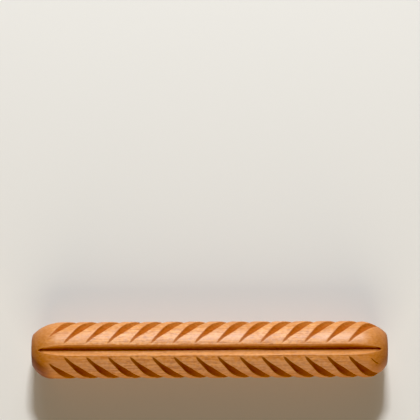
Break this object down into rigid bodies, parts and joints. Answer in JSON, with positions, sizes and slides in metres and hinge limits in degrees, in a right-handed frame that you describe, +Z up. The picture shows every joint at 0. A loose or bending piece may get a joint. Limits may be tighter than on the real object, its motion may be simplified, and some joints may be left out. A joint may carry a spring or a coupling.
{
  "type": "clay texture roller",
  "caption": "Hand roller for clay: a round-shouldered hardwood rod carved with straight grooves and slanting strokes that print a herringbone.",
  "frame": {"origin": "on the rod's axis, at the middle of its length", "axes": "+X along the rod, +Z up through the middle of one straight groove, +Y across"},
  "size_m": [0.126, 0.02, 0.0198],
  "materials": {
    "oiled_beech": "turned, carved, sanded and oiled"
  },
  "bodies": {
    "root": {"roller_body": "oiled_beech"}
  },
  "joints": []
}
